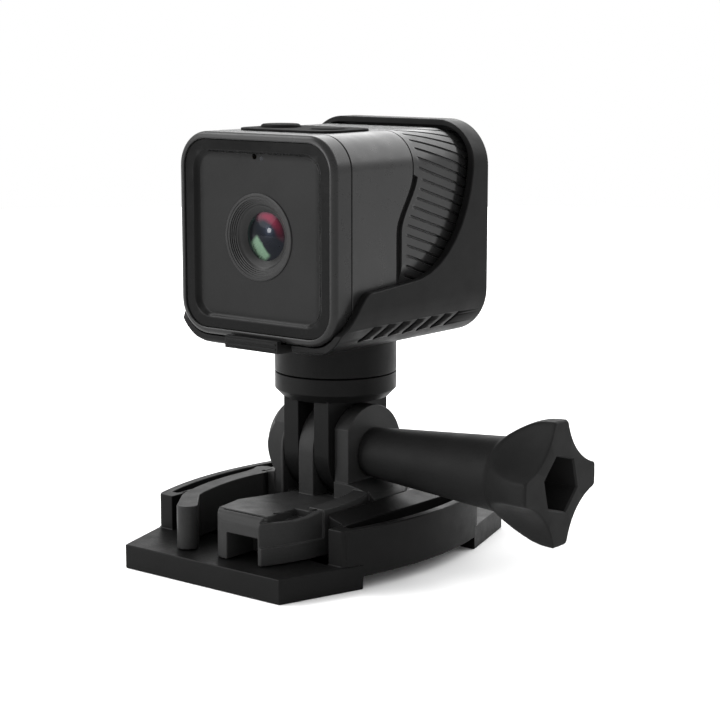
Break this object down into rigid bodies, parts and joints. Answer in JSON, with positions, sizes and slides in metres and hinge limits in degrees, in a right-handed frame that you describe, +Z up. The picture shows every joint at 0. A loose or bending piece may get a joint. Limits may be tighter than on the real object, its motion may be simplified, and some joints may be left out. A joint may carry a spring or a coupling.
{
  "type": "action camera",
  "caption": "Cube-shaped action camera in a snap-in cradle on a pan and tilt head, clamped by a lobed thumb screw to a quick-release strap base.",
  "frame": {"origin": "centre of the strap base's underside, on the plane that the two feet stand on", "axes": "+Z up, the lens looks along -Y, the thumb screw sticks out along +X; the strap channel runs along X"},
  "size_m": [0.0649, 0.0564, 0.0679],
  "materials": {
    "base_plastic": "moulded black nylon, fine matte grain",
    "buckle_plastic": "moulded black nylon, satin",
    "knob_plastic": "moulded black nylon, satin",
    "cradle_plastic": "moulded black polycarbonate, fine matte grain",
    "swivel_plastic": "moulded black acetal, satin",
    "shell_grey": "dark grey soft-touch paint",
    "ribbed_grey": "dark grey moulded polycarbonate, fluted",
    "rim_grey": "dark grey satin",
    "panel_grey": "smoked acrylic window, satin",
    "lens_black": "anodised look, fine rings",
    "lens_glass": "coated optical glass",
    "rubber_black": "matte silicone rubber",
    "steel": "zinc plated, machined",
    "brass_part": "turned brass",
    "board_green": "solder mask over glass epoxy",
    "chip_black": "moulded epoxy",
    "inner_grey": "glass filled polycarbonate",
    "cell_wrap": "blue grey cell pouch"
  },
  "bodies": {
    "base": {"strap_base": "base_plastic"},
    "buckle": {"buckle_body": "buckle_plastic", "clamp_nut": "steel"},
    "lever": {"release_lever": "buckle_plastic"},
    "thumb_screw": {"thumb_knob": "knob_plastic", "clamp_bolt": "steel"},
    "tilt_head": {"tilt_fork": "swivel_plastic", "pan_insert": "brass_part", "pan_screw": "steel", "friction_ring": "rubber_black"},
    "cradle_head": {"pan_disc": "swivel_plastic", "cradle": "cradle_plastic"},
    "latch": {"latch_tab": "cradle_plastic"},
    "camera": {"front_bezel": "rim_grey", "front_panel": "panel_grey", "lens_ring": "lens_black", "lens_barrel": "lens_black", "front_element": "lens_glass", "middle_element": "lens_glass", "rear_element": "lens_glass", "lens_holder": "lens_black", "sensor_board": "board_green", "image_sensor": "chip_black", "microphone": "brass_part", "status_light": "lens_glass", "front_gasket": "rubber_black", "mid_shell": "shell_grey", "side_gasket": "rubber_black", "ribbed_shell": "ribbed_grey", "rear_gasket": "rubber_black", "rear_cover": "rim_grey", "case_screws": "steel", "door_pin": "steel", "chassis": "inner_grey", "battery": "cell_wrap", "main_board": "board_green", "board_chips": "chip_black", "speaker": "chip_black", "port_board": "board_green", "usb_connector": "steel", "card_socket": "steel", "memory_card": "chip_black", "button_board": "board_green", "tact_switches": "steel", "keypad": "rubber_black"},
    "record_key": {"record_button": "rubber_black"},
    "power_key": {"power_button": "rubber_black"},
    "rear_door": {"port_door": "rim_grey"}
  },
  "joints": [
    {"name": "buckle_slide", "type": "slide", "parent": "base", "child": "buckle", "axis": [0, -1, 0], "range_m": [0, 0.036]},
    {"name": "lever_squeeze", "type": "hinge", "parent": "buckle", "child": "lever", "pos_m": [-0.0112, -0.0012, 0.0077], "axis": [0, 0, 1], "range_deg": [0, 6], "stiffness_Nm_per_rad": 0.3},
    {"name": "thumb_turn", "type": "hinge", "parent": "buckle", "child": "thumb_screw", "pos_m": [0.02, 0.0038, 0.01606], "axis": [1, 0, 0], "continuous": true},
    {"name": "tilt", "type": "hinge", "parent": "buckle", "child": "tilt_head", "pos_m": [0, 0.0038, 0.01606], "axis": [1, 0, 0], "range_deg": [-45, 45]},
    {"name": "pan", "type": "hinge", "parent": "tilt_head", "child": "cradle_head", "pos_m": [0, 0.0038, 0.0285], "axis": [0, 0, 1], "continuous": true},
    {"name": "latch_press", "type": "hinge", "parent": "cradle_head", "child": "latch", "pos_m": [0, -0.0084, 0.03465], "axis": [1, 0, 0], "range_deg": [0, 10], "stiffness_Nm_per_rad": 0.4},
    {"name": "camera_slide", "type": "slide", "parent": "cradle_head", "child": "camera", "axis": [0, -1, 0], "range_m": [0, 0.038], "deforming": ["latch_tab"]},
    {"name": "record_press", "type": "slide", "parent": "camera", "child": "record_key", "axis": [0, 0, -1], "range_m": [0, 0.0005], "stiffness_N_per_m": 600},
    {"name": "power_press", "type": "slide", "parent": "camera", "child": "power_key", "axis": [0, 0, -1], "range_m": [0, 0.0005], "stiffness_N_per_m": 600},
    {"name": "rear_door_open", "type": "hinge", "parent": "camera", "child": "rear_door", "pos_m": [-0.0112, 0.01995, 0.0511], "axis": [0, 0, 1], "range_deg": [0, 100]}
  ]
}
